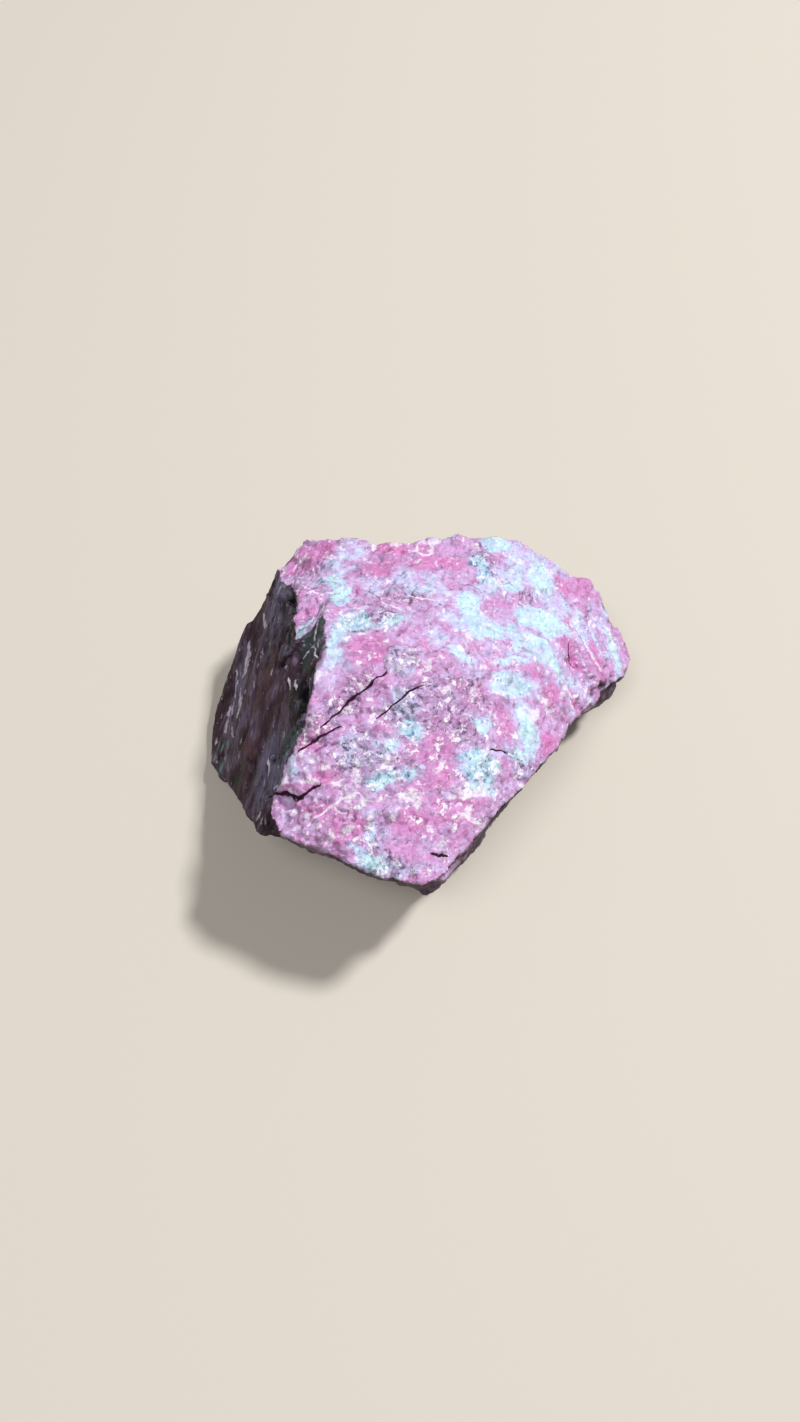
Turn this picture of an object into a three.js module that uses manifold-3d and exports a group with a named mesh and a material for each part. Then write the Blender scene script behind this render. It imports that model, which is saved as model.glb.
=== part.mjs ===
// Rough rhodonite: one fist-sized broken chunk, in millimetres, +Z up.
//
// The chunk is a leaning block. A dark cleavage face slopes out to the left, the broken
// top falls from a ridge above that face to the back and to the right, the front is
// undercut, and the chunk rests on a flat cleaved base. It is one piece of stone.
//
// How it is made: rings of hand-placed corners, from the crown of the top down to the base,
// are joined into a coarse block. Its faces are split until the edges are short, fracture
// relief moves the surface in and out, and chips and cracks are cut out of the result.

import * as THREE from 'three';
import { ImprovedNoise } from 'three/addons/math/ImprovedNoise.js';
import { TessellateModifier } from 'three/addons/modifiers/TessellateModifier.js';
import { mergeVertices } from 'three/addons/utils/BufferGeometryUtils.js';
import Module from 'manifold-3d';

// ---- driving dimensions -------------------------------------------------------------

const LONGEST_EDGE = 3.9; // the coarse faces are split until no edge is longer
const SHARP = Math.cos(THREE.MathUtils.degToRad(27)); // bends over 27 degrees stay sharp
const SOFTEN_ROUNDS = 4;
const LUMP = { height: 0.9, size: 19 }; // broad swells of the broken faces
const BREAK = { top: 0.8, sides: 1.4, size: 14 }; // small flat breaks, each tilted its own way
const HACKLE = { height: 0.4, size: 6.5 }; // short rough fracture on the pink faces
const BLADE = { height: 0.8, pitch: 5.5, run: 26 }; // long splinters of the left face
const LEDGE = { height: 0.5, pitch: 9 }; // steps where the bedding breaks the top
const BLADE_DIRECTION = new THREE.Vector3(9, 30, 15).normalize(); // along the ridge
const BEDDING = new THREE.Vector3(0.42, 0.86, 0.28).normalize(); // across the top's beds

// The point at the middle of the top.
const CROWN = [3, 1, 47.8];

// Every ring is walked anticlockwise, seen from above, from the right-hand corner.

// Shoulder: where the top bends between its broad facets.
const SHOULDER = [
  [32, 12.5, 31], // right-hand slope
  [28.5, 23, 33.5],
  [13, 25, 40.5], // back slope
  [-4.5, 21.8, 43.6],
  [-18.5, 23, 40.2],
  [-14, 4, 48], // beside the spike
  [-14.5, -10, 44.8], // hollow front-left facet
  [-20.5, -17, 42.3],
  [-17, -24, 39.2],
  [-2.5, -29.5, 38.4], // front facet
  [11.5, -19.5, 38.6],
  [23.5, -2.5, 35],
];

// Rim: the edge of the broken top.
const RIM = [
  [49, 19, 17], // right-hand corner
  [47.5, 22.5, 19.5],
  [45, 26, 22.5],
  [42.5, 30.5, 26],
  [39.5, 33.5, 28],
  [34.5, 33.7, 30.5],
  [28.5, 36.2, 34],
  [22.5, 38, 36.5], // back edge
  [16, 38.6, 38],
  [9, 37.6, 39],
  [2, 37.8, 39],
  [-5.5, 37.3, 38.5],
  [-13, 38.2, 37.5],
  [-20, 39.2, 36],
  [-26, 40.8, 33.5],
  [-30, 37.2, 31],
  [-32.6, 35, 29.5], // back left corner
  [-30.5, 27.5, 32.5], // ridge above the left face
  [-28.5, 26.5, 35.5],
  [-25.5, 20.5, 40],
  [-27, 15.5, 39],
  [-26.2, 9.5, 40.5], // foot of the notch beside the spike
  [-23, 10, 43],
  [-20, 13.5, 44.5], // spike
  [-19, 3.5, 47.5],
  [-21, -0.5, 47.5],
  [-22, -7.5, 46],
  [-23.5, -13, 44],
  [-25.5, -16.5, 41.5],
  [-27, -18.5, 39.5],
  [-28, -22, 37.5],
  [-29.7, -24, 35.5],
  [-30.3, -26.5, 34.3], // front left corner
  [-28.5, -30, 34.3],
  [-24, -32, 35],
  [-14, -36, 35],
  [-8.5, -38.8, 34.5],
  [-3, -41, 35],
  [0.5, -41.6, 35], // front tip
  [3.3, -39.8, 35],
  [9.7, -31.8, 33.5],
  [19, -20, 31],
  [29, -7, 26.5],
  [36.8, 3, 21.5],
  [40.5, 8.5, 20],
  [44, 11.5, 18],
  [46.5, 14, 17.5],
];

// Waist: half-way down the sides.
const WAIST = [
  [48.5, 19.5, 10],
  [46, 27, 12],
  [40, 36, 15],
  [27, 41, 18],
  [14, 43, 21],
  [0, 41, 23],
  [-12, 41, 20],
  [-23, 42.5, 17],
  [-33, 38.5, 18],
  [-37, 32, 20], // back edge of the left face
  [-37.8, 19, 20.5],
  [-37.3, 5, 21.5],
  [-36.8, -9, 22],
  [-38, -20, 21], // front edge of the left face
  [-34, -27.2, 28.5],
  [-26, -26, 18],
  [-11, -32, 17],
  [1, -36.5, 17], // under the front tip
  [11.7, -26, 16],
  [20.6, -12.2, 14],
  [30.8, 1.5, 12],
  [38, 7.3, 11.5],
  [44.3, 11.9, 11.5],
];

// Skirt: just above the ground.
const SKIRT = [
  [45.5, 18.5, 5.5],
  [43, 26.5, 6],
  [37, 33.5, 6.5],
  [26, 38, 6.5],
  [10, 40, 7.5],
  [-10, 39, 6],
  [-25, 40.5, 6],
  [-37.5, 35, 7.5],
  [-43, 25.5, 12], // back edge of the left face, low down
  [-47.3, 16, 5.5],
  [-50, 4.5, 2.2],
  [-49, -2, 3],
  [-43.5, -9, 11],
  [-35.5, -13.5, 6],
  [-23, -20, 4.5],
  [-10, -27, 4],
  [1.8, -32, 5],
  [13.4, -21.5, 4],
  [22.5, -8, 3.5],
  [32.9, 6, 3.5],
  [37.4, 10.5, 5.5],
  [42.5, 13.5, 6],
];

// Base: the edge of the flat face that it rests on.
const BASE = [
  [38.5, 19, 0],
  [36, 25, 0],
  [30, 29, 0],
  [20, 32.5, 0],
  [6, 32, 0],
  [-10, 34.5, 0],
  [-24, 34, 0],
  [-34, 30, 0],
  [-41, 21, 0],
  [-46.5, 13, 0],
  [-49, 4, 0],
  [-47.5, -1.5, 0],
  [-39.5, -6.5, 0],
  [-33, -10.5, 0],
  [-21.5, -17.5, 0],
  [-9, -24, 0],
  [1.5, -29, 0],
  [12.5, -20, 0],
  [21.4, -7.1, 0],
  [30, 6, 0],
  [33.4, 10.5, 0],
  [37, 14, 0],
];
const BASE_MIDDLE = [-3, 5, 0];

// Cracks: sharp splits and pockets, each a lozenge on edge from one end to the other. They
// open upwards, or the way that out gives.
const LEFT_OUT = [-0.86, 0, 0.51];
const RIGHT_OUT = [0.45, -0.25, 0.86];
const CRACKS = [
  { from: [-7, -2, 47.8], to: [-18.5, -11, 45.4], width: 1.6, depth: 4 }, // longest
  { from: [0.5, -4.2, 46.8], to: [-9.2, -10.8, 46.3], width: 0.9, depth: 2.6 },
  { from: [-15, -11.8, 45], to: [-26, -17.4, 42.2], width: 1.6, depth: 3.5 },
  { from: [-31.5, -21.5, 34.8], to: [-23.5, -26.2, 38], width: 2.8, depth: 4.5 }, // at the rim
  { from: [-26.5, -26.8, 37.3], to: [-18.5, -22, 41], width: 1.4, depth: 3 },
  { from: [32.6, 15.5, 31], to: [35.8, 9, 27.5], width: 1.2, depth: 2.5, out: RIGHT_OUT },
  { from: [12.8, -14.8, 38.2], to: [19, -13.5, 36], width: 0.9, depth: 2.2, out: RIGHT_OUT },
  { from: [0.8, -35, 36], to: [6.5, -36.4, 34.8], width: 0.9, depth: 2 },
  { from: [-24.3, 3, 41.5], to: [-23.2, -12, 43.2], width: 3.4, depth: 4.5, out: LEFT_OUT },
  { from: [-29.5, 31, 32], to: [-26, 15, 39.5], width: 3.6, depth: 4, out: LEFT_OUT },
];

// Scoops: rounded hollows, each an oval with its middle and three half-axes, turned about the
// vertical by a bearing in degrees.
const SCOOPS = [
  { at: [45, 8, 14.5], half: [5.5, 2.8, 4.5], bearing: 42 }, // under the right-hand corner
  { at: [39.5, 4.5, 2.5], half: [6, 4, 4.5], bearing: 50 }, // gap at the foot
  { at: [-44, 37, 4], half: [9, 8, 11], bearing: 30 }, // back left foot
  { at: [-13, -37.5, 10], half: [13, 6, 8], bearing: -28 }, // undercut front
];

// Steps: flat-sided breaks, each a block that came away, with its middle, its size and its
// tilt in degrees about X, Y and Z.
const STEPS = [
  { at: [8, 47.5, 35], size: [38, 16, 24], tilt: [15, -9, 5] }, // back, upper
  { at: [-19, 48.5, 7], size: [28, 16, 20], tilt: [-12, 10, 8] }, // back, lower
  { at: [46, 37, 10], size: [20, 16, 18], tilt: [10, 12, -38] }, // back right
  { at: [20.5, -25, 4], size: [22, 8, 12], tilt: [-9, 14, 51] }, // right-hand side, low
];

// ---- joining the rings ---------------------------------------------------------------

// Joins two rings by a band of triangles, always closing the shorter diagonal.
function band(upper, lower) {
  const triangles = [];
  const point = (ring, i) => new THREE.Vector3(...ring[i % ring.length]);
  let i = 0;
  let j = 0;
  while (i < upper.length || j < lower.length) {
    const stepUpper = point(upper, i + 1).distanceTo(point(lower, j));
    const stepLower = point(upper, i).distanceTo(point(lower, j + 1));
    const upperNext = j >= lower.length || (i < upper.length && stepUpper < stepLower);
    if (upperNext) {
      triangles.push([point(upper, i), point(lower, j), point(upper, i + 1)]);
      i += 1;
    } else {
      triangles.push([point(upper, i), point(lower, j), point(lower, j + 1)]);
      j += 1;
    }
  }
  return triangles;
}

// Closes a ring with a fan of triangles to one point.
function fan(ring, middle, facesUp) {
  const tip = new THREE.Vector3(...middle);
  return ring.map((corner, i) => {
    const a = new THREE.Vector3(...corner);
    const b = new THREE.Vector3(...ring[(i + 1) % ring.length]);
    return facesUp ? [tip, a, b] : [tip, b, a];
  });
}

function coarseBlock() {
  const triangles = [
    ...fan(SHOULDER, CROWN, true),
    ...band(SHOULDER, RIM),
    ...band(RIM, WAIST),
    ...band(WAIST, SKIRT),
    ...band(SKIRT, BASE),
    ...fan(BASE, BASE_MIDDLE, false),
  ];
  return new THREE.BufferGeometry().setFromPoints(triangles.flat());
}

// ---- softening the coarse block ------------------------------------------------------

// For every point, the points it shares an edge with and the normals of the faces around it.
function surroundings(geometry) {
  const position = geometry.getAttribute('position');
  const around = Array.from({ length: position.count }, () => ({ points: new Set(), normals: [] }));
  const [a, b, c] = [new THREE.Vector3(), new THREE.Vector3(), new THREE.Vector3()];
  for (let t = 0; t < geometry.index.count; t += 3) {
    const corners = [0, 1, 2].map((k) => geometry.index.getX(t + k));
    [a, b, c].forEach((v, k) => v.fromBufferAttribute(position, corners[k]));
    const normal = new THREE.Triangle(a, b, c).getNormal(new THREE.Vector3());
    corners.forEach((corner, k) => {
      around[corner].points.add(corners[(k + 1) % 3]).add(corners[(k + 2) % 3]);
      around[corner].normals.push(normal);
    });
  }
  return around;
}

// Rounds the low bends between facets and leaves the sharp edges sharp.
function soften(geometry) {
  const position = geometry.getAttribute('position');
  const around = surroundings(geometry).map(({ points, normals }) => ({
    points: [...points],
    sharp: normals.some((n) => normals.some((m) => n.dot(m) < SHARP)),
  }));
  for (let round = 0; round < SOFTEN_ROUNDS; round += 1) {
    const old = position.clone();
    around.forEach(({ points, sharp }, i) => {
      if (sharp) return;
      const middle = new THREE.Vector3();
      points.forEach((p) => middle.add(new THREE.Vector3().fromBufferAttribute(old, p)));
      middle.divideScalar(points.length);
      position.setXYZ(i, middle.x, middle.y, middle.z);
    });
  }
  return geometry;
}

// ---- fracture relief -----------------------------------------------------------------

const noise = new ImprovedNoise();
const { lerp, smoothstep, degToRad } = THREE.MathUtils;

// Smooth noise between about -1 and 1, with features of the given size.
function swell(point, size, shift = 0) {
  return noise.noise(point.x / size + shift, point.y / size + 3.7, point.z / size + 8.1);
}

// A fixed number between 0 and 1 for a cell of space and one of its uses.
function scatter(cell, use) {
  const mixed = Math.sin(cell.x * 127.1 + cell.y * 311.7 + cell.z * 74.7 + use * 19.3) * 43758.5;
  return mixed - Math.floor(mixed);
}

function scatterPoint(cell, use) {
  return new THREE.Vector3(scatter(cell, use), scatter(cell, use + 1), scatter(cell, use + 2));
}

// Flat tilted breaks, one to each cell of a scattered pattern, with a small step between two.
function breaks(point, size) {
  const home = point.clone().divideScalar(size);
  const corner = home.clone().floor();
  let nearest = Infinity;
  let height = 0;
  for (let i = 0; i < 27; i += 1) {
    const offset = new THREE.Vector3(i % 3, Math.floor(i / 3) % 3, Math.floor(i / 9)).subScalar(1);
    const cell = corner.clone().add(offset);
    const away = home.clone().sub(scatterPoint(cell, 1).add(cell));
    if (away.lengthSq() < nearest) {
      nearest = away.lengthSq();
      const tilt = scatterPoint(cell, 4).subScalar(0.5);
      height = 1.8 * away.dot(tilt) + 0.8 * (scatter(cell, 7) - 0.5);
    }
  }
  return height;
}

// Long splinters that run along the left face, thin across it.
function blades(point) {
  const across = new THREE.Vector3(-1, 0, 0.6).normalize().cross(BLADE_DIRECTION).normalize();
  const along = point.dot(BLADE_DIRECTION) / BLADE.run;
  const side = point.dot(across) / BLADE.pitch;
  return noise.noise(side * 1.7, along, 4.2) + 0.5 * noise.noise(side * 3.1, along * 2, 9.4);
}

// Low steps of the top, a rounded saw-tooth across the bedding.
function ledges(point) {
  const across = point.dot(BEDDING) / LEDGE.pitch + 1.4 * swell(point, 22, 5);
  const phase = across - Math.floor(across);
  return phase < 0.8 ? phase / 0.8 - 0.5 : (1 - phase) / 0.2 - 0.5;
}

function relief(point, normal) {
  const onLeft = smoothstep(-normal.x, 0.45, 0.8);
  const onTop = smoothstep(normal.z, 0.5, 0.8);
  return LUMP.height * swell(point, LUMP.size)
    + lerp(BREAK.sides, BREAK.top, onTop) * (1 - onLeft) * breaks(point, BREAK.size)
    + HACKLE.height * (1 - onLeft) * swell(point, HACKLE.size, 2)
    + BLADE.height * onLeft * blades(point)
    + LEDGE.height * onTop * ledges(point);
}

// Moves every point along its normal, and keeps the base flat and on the ground.
function roughen(geometry) {
  geometry.computeVertexNormals();
  const position = geometry.getAttribute('position');
  const normals = geometry.getAttribute('normal');
  const point = new THREE.Vector3();
  const normal = new THREE.Vector3();
  for (let i = 0; i < position.count; i += 1) {
    point.fromBufferAttribute(position, i);
    normal.fromBufferAttribute(normals, i);
    const onGround = point.z < 1e-6;
    point.addScaledVector(normal, relief(point, normal));
    position.setXYZ(i, point.x, point.y, onGround ? 0 : Math.max(point.z, 0.6));
  }
  geometry.deleteAttribute('normal');
  return geometry;
}

// ---- cuts ----------------------------------------------------------------------------

const wasm = await Module();
wasm.setup();

function toSolid(geometry) {
  const bare = new THREE.BufferGeometry();
  bare.setAttribute('position', geometry.getAttribute('position').clone());
  bare.setIndex(geometry.index);
  const merged = mergeVertices(bare, 1e-4);
  return new wasm.Manifold(new wasm.Mesh({
    numProp: 3,
    vertProperties: new Float32Array(merged.getAttribute('position').array),
    triVerts: new Uint32Array(merged.index.array),
  }));
}

function toGeometry(solid) {
  const mesh = solid.getMesh();
  const geometry = new THREE.BufferGeometry();
  geometry.setAttribute('position', new THREE.BufferAttribute(mesh.vertProperties, 3));
  geometry.setIndex(new THREE.BufferAttribute(mesh.triVerts, 1));
  return geometry;
}

// A long thin lozenge on edge, sharp at both ends.
function crack({ from, to, width, depth, out = [0, 0, 1] }) {
  const start = new THREE.Vector3(...from);
  const end = new THREE.Vector3(...to);
  const along = end.clone().sub(start);
  const length = along.length();
  along.normalize();
  const side = new THREE.Vector3(...out).cross(along).normalize();
  const placed = new THREE.Matrix4().makeBasis(along, side, along.clone().cross(side));
  placed.setPosition(start.add(end).multiplyScalar(0.5));
  const lozenge = new THREE.OctahedronGeometry(1);
  lozenge.scale(length / 2, width / 2, depth);
  return lozenge.applyMatrix4(placed);
}

function scoop({ at, half, bearing }) {
  const oval = new THREE.IcosahedronGeometry(1, 2);
  oval.scale(...half);
  oval.rotateZ(degToRad(bearing));
  oval.translate(...at);
  return oval;
}

function step({ at, size, tilt }) {
  const block = new THREE.BoxGeometry(...size);
  const [x, y, z] = tilt.map((angle) => degToRad(angle));
  block.applyMatrix4(new THREE.Matrix4().makeRotationFromEuler(new THREE.Euler(x, y, z)));
  return block.translate(...at);
}

// ---- the stone -----------------------------------------------------------------------

function stoneGeometry() {
  const split = new TessellateModifier(LONGEST_EDGE, 12).modify(coarseBlock());
  const rough = roughen(soften(mergeVertices(split, 1e-3)));
  let stone = toSolid(rough);
  for (const cut of [...STEPS.map(step), ...SCOOPS.map(scoop), ...CRACKS.map(crack)]) {
    stone = stone.subtract(toSolid(cut));
  }
  const geometry = toGeometry(stone);
  geometry.computeBoundingBox();
  const middle = geometry.boundingBox.getCenter(new THREE.Vector3());
  return geometry.translate(-middle.x, -middle.y, -geometry.boundingBox.min.z);
}

const stone = new THREE.Mesh(
  stoneGeometry(),
  new THREE.MeshStandardMaterial({ color: 0xc98fa9, roughness: 0.7, metalness: 0 }),
);
stone.name = 'rhodonite';

const group = new THREE.Group();
group.add(stone);

export default group;
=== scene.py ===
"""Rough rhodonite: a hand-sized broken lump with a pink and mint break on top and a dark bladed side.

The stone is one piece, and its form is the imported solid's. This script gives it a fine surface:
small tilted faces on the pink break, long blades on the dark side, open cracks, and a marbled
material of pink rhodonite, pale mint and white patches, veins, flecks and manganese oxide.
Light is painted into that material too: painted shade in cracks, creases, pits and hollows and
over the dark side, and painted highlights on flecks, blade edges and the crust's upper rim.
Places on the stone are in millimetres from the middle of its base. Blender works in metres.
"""

import math

import bpy
import numpy as np
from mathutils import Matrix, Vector, noise


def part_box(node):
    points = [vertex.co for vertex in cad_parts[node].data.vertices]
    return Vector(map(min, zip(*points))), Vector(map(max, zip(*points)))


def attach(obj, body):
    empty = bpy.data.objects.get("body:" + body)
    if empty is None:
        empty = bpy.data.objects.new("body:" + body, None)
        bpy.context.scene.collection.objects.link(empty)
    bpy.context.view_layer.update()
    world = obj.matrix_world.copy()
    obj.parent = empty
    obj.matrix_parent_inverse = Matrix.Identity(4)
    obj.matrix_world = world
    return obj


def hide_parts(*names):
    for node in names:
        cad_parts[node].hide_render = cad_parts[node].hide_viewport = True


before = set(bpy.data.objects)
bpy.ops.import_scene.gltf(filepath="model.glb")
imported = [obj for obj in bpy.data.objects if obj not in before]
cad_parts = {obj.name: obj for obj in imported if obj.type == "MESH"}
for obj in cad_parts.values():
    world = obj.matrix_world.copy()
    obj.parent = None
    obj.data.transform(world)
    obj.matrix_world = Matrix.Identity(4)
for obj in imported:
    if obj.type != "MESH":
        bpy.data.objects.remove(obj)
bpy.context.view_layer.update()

MM = 0.001

# ---------------------------------------------------------------------------------------------
# Places on the stone
# ---------------------------------------------------------------------------------------------

# The pink break meets the dark side along this ridge, seen from above, from the back to the front.
RIDGE = [
    (-33, 60), (-33, 37), (-31, 30), (-29, 28), (-26.5, 22), (-26.8, 15.5), (-26, 9), (-23, 10.5),
    (-20.5, 14.5), (-19.2, 4), (-21, 0.5), (-22, -7), (-23.8, -12.8), (-25.5, -16.5), (-27, -18.5),
    (-28.3, -21.7), (-30, -23.3), (-30.2, -26.4), (-28.4, -29.8), (-26, -60),
]
DARK_SIDE = RIDGE + [(-90, -60), (-90, 60)]

# The stone splits into plates that lie along its dark side, and the plates into long blades, which
# run nearly from front to back within the plates.
PLATE_NORMAL = Vector((-0.82, 0.0, 0.57)).normalized()
NEARLY_BACK = Vector((0.14, 0.96, 0.20)).normalized()
BLADE_DIRECTION = (NEARLY_BACK - PLATE_NORMAL * NEARLY_BACK.dot(PLATE_NORMAL)).normalized()
BREADTH_DIRECTION = PLATE_NORMAL.cross(BLADE_DIRECTION)

# Down the right end, the pink and the mint are drawn out into folded streaks.
FOLD_DIRECTION = Vector((0.47, -0.71, -0.52)).normalized()

# Open cracks, seen from above: the line, its half width and its depth.
CRACKS = [
    ([(-6.8, -1.6), (-12.5, -6), (-18.2, -11.1)], 0.28, 1.4),
    ([(-17.9, -11.0), (-20.2, -12.6)], 0.16, 0.4),
    ([(0.6, -4.0), (-4.2, -7), (-9.2, -10.8)], 0.17, 0.8),
    ([(-15.6, -12.3), (-19.6, -14), (-25.1, -17)], 0.24, 1.0),
    ([(-31.4, -22.2), (-29.4, -22.9), (-26.8, -24.2), (-25.4, -25.1), (-23.8, -24.8),
      (-22.1, -23.8), (-19.8, -22.8)], 0.32, 1.5),
    ([(33.1, 14.9), (32.9, 11.9), (34.8, 9.8)], 0.13, 0.5),
    ([(13.7, -14.5), (18, -13.8)], 0.2, 0.8),
    ([(1.8, -35.4), (5.2, -36.1)], 0.3, 1.0),
]

# Hollows: the middle, the radius and the depth. They are painted dark as painted shade.
HOLLOWS = [
    ((-23.9, -0.5, 41.6), 1.6, 2.0), ((-23.7, -3.6, 41.2), 1.8, 2.4), ((-24.2, -6.6, 41), 1.4, 1.6),
    ((-28.9, 24.6, 33.4), 1.7, 1.8), ((-27.2, 22.6, 35), 1.2, 1.0),
    # The right corner's dents, and the painted shadow under its overhang.
    ((39.3, 6.5, 20.9), 1.0, 0.9), ((41.6, 9.2, 20), 1.3, 1.0), ((38.2, 2.6, 15.8), 1.6, 1.4),
]

# Patches on the break, seen from above: middle, half length, half width and turn in degrees.
MINT_PATCHES = [
    (10, 17, 3.2, 2.2, -60), (12.5, 12.5, 5, 3.4, -30), (27, 17.8, 6.6, 3, -8),
    (23.5, 10.8, 6.8, 3.4, -12), (29.5, 8, 3, 1.4, -50), (18.5, 6, 3, 1.1, 15),
    (18.5, 0.3, 4.2, 3, 20), (22.3, -8.5, 5.2, 2.1, 100), (20.5, -14.5, 2.4, 1.6, 30),
    (10.5, -17.5, 4.2, 2.6, 10), (12, -21.2, 2.6, 2.4, 0), (-7.5, -22.2, 3.2, 1.6, 5),
    (-3.5, -21.6, 2, 0.9, 15), (-1.8, -12.8, 1.7, 2.1, 20), (-10.5, -37, 3.4, 1.5, -25),
    (-19, 25.4, 3, 1.6, -10), (-17.5, 20.8, 3.8, 2.2, -65), (-24, 12.2, 4, 1.4, 52),
    (-13.5, 12.2, 3.6, 2.8, 5), (-16.8, 8.6, 1.5, 2.2, 20), (-6, 11.8, 3, 1.7, 15),
    (-17.6, 3.2, 4, 1.7, 78), (17, 35.5, 3.2, 2.4, 10), (13.6, 27, 4.2, 1.7, -72),
    (27, 28.5, 3.3, 3, 0), (21, 25, 2, 1.2, 25), (44.6, 16, 3.4, 1.3, -72),
    (7.6, 3.6, 2.6, 1.2, -35), (12.5, -9.5, 2, 1.5, 15), (30, 36, 4, 1.6, -25),
    (-9.8, -32.1, 1.6, 0.8, 95), (-5, -16.2, 1.7, 1.0, 72),
]
WHITE_PATCHES = [
    (10.2, -23.6, 3.4, 0.9, 8), (-5, -14.4, 1, 0.5, 20), (-7.3, -19.4, 1.1, 0.6, 60),
    (-1.5, -25, 1.4, 0.8, 0), (-9.9, -30, 1.2, 0.7, 80), (-9.2, -33.7, 1.0, 0.6, 100),
    (2, 0, 1.2, 0.7, 80), (-20.6, -2.6, 2.0, 1.1, 15), (35, 35, 4, 1.0, -35), (24, -4.5, 1.3, 0.7, 60),
    (8, -27.5, 1.8, 0.7, 25), (3.5, -19.5, 1.4, 0.6, 80), (26.6, -0.6, 1.6, 0.8, -25),
    (44.2, 20.2, 2.4, 0.6, -60), (-16.4, 10.4, 1.2, 0.9, 70), (-14.4, 13.6, 1.6, 0.6, 20),
]
# Dabs: small white patches with crisper borders, given in the same way.
WHITE_DABS = [
    (-21.7, -18.6, 0.9, 0.5, 10), (-23.9, -17.6, 0.8, 0.45, 15), (-21.4, -22.3, 1.2, 0.6, 5),
    (-23.5, -22.3, 0.7, 0.5, 0), (-25.6, -27, 0.6, 0.6, 0), (-22.5, -28.3, 0.7, 0.6, 0),
    (-15.8, -18.9, 0.7, 0.6, 30), (-19.1, -19.8, 0.9, 0.5, 10), (-2.3, -25.4, 1.5, 1.0, 5),
    (-4.5, -25.4, 0.7, 0.6, 0), (-6.7, -18, 0.8, 0.7, 70), (-16.9, -22.8, 0.7, 0.4, 30),
    (-12.8, -21.7, 1.2, 0.4, 70), (-14, -25.2, 1.2, 0.6, 20), (-14.5, -31.2, 1.4, 0.6, 30),
    (-17.9, -32.6, 1.0, 0.5, 50), (-0.9, -26.6, 1.1, 0.7, 60), (-11.7, -26.3, 0.6, 0.4, 60),
    (-8.4, -25.9, 0.6, 0.4, 60), (-27.2, -21.3, 1.2, 0.6, 60), (-26.8, -24.2, 0.8, 0.4, 40),
    (4, -33.5, 1.2, 0.5, 20), (-6, -29.4, 0.9, 0.5, 40), (-20.4, -30.4, 0.8, 0.5, 30),
    (-24.8, -30.2, 0.7, 0.5, 20), (5.8, -24.8, 1.0, 0.5, 20), (-27.1, 34.5, 1.6, 0.5, 35),
    (-20, 32.8, 1.2, 0.5, -20), (-5.5, 35.4, 1.4, 0.6, 20), (3, 35.2, 1.5, 0.6, 0),
    (-0.5, 28.9, 0.8, 0.5, 10), (13, 2.1, 0.8, 0.5, 10), (5, -4.4, 0.9, 0.5, 30),
    (-2, 3.6, 0.8, 0.5, 0), (9.4, 8.2, 0.9, 0.5, 50), (16.2, -2.6, 0.9, 0.6, 40),
    (10.4, -3.4, 0.8, 0.5, 60), (14.6, -7.4, 0.8, 0.5, 20), (20.6, -19.4, 1.0, 0.5, -40),
    (-12.4, 8.4, 1.6, 0.4, 10), (-15.2, 6.2, 0.9, 0.5, 60), (-7.2, 5.6, 0.8, 0.5, 80),
]
LILAC_PATCHES = [
    (0, 22, 6, 3.5, -20), (-9, 22, 4, 3, -30), (-15, 34, 4, 3.5, -20), (6, 12.5, 3.6, 1.5, -35),
    (3, 7.5, 2.8, 1.6, -10), (-4, 1, 3.2, 4, 20), (-12, -17, 6, 3.2, 15), (-3, -38.5, 4, 1.4, 15),
    (37, 19, 3.5, 2.2, -50), (30, 24, 5, 2.5, -20), (21, 33, 3, 4.5, 0), (41, 25, 3, 3, 0),
    (35, 6, 3.4, 1.4, -50), (-26, -20, 2, 1.4, 60), (5, 38, 3, 2, 0), (-3, -8, 3, 2.4, 30),
    (17, -14, 2, 1.4, 0), (24, 2.5, 2.5, 1.2, 10), (-19, 30, 5, 2, -25), (16, 22, 4, 2, 20),
    (26, 33.5, 5, 2, -10), (20, 27.5, 3.4, 2.4, 30), (43, 21.5, 3.4, 1.8, -60), (36.4, 6.2, 3, 1.6, -50),
    (29.5, 20.5, 3, 1.6, 15),
]
ROSE_PATCHES = [
    (-24.5, 34.5, 6, 4, 0), (-5, 34.5, 4, 3.4, 0), (3.5, 29, 6.5, 2.6, 5), (-8.5, 28, 3, 2.6, 0),
    (16.5, 20, 2.6, 1.4, -10), (18, 9.6, 1.8, 1.6, 0), (21, 4, 4.8, 1.3, 12), (33.4, 12, 5.4, 2.2, -62),
    (33.5, 29, 4, 2.4, 0), (-11, 3.5, 5, 4, 30), (3, -17, 6, 4, -20), (17, -8.5, 1.6, 4, 10),
    (6, -27.5, 6.5, 2.2, 22), (-14, -31.5, 4.5, 3.2, -15), (2.5, -22, 3, 2, 0), (27, -10, 2, 4, -35),
    (-22, -14, 4, 1.8, 30), (16.5, -17.5, 1.4, 2.4, 0), (37, 30, 3, 3.4, 0), (-20, -28, 4, 2, -10),
    (-20, -22, 4, 1.6, 20), (32.5, 28, 2.6, 2, 0), (39.6, 26.8, 3, 2.2, -40), (40.6, 14.8, 3.2, 0.8, -57),
    (28.5, 1.8, 2, 1.6, -30), (33.4, 12, 2.8, 1.2, -70), (-2, -29.5, 5, 2.2, 15),
    (1, 33.3, 1.4, 1.6, 0),
]
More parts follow.
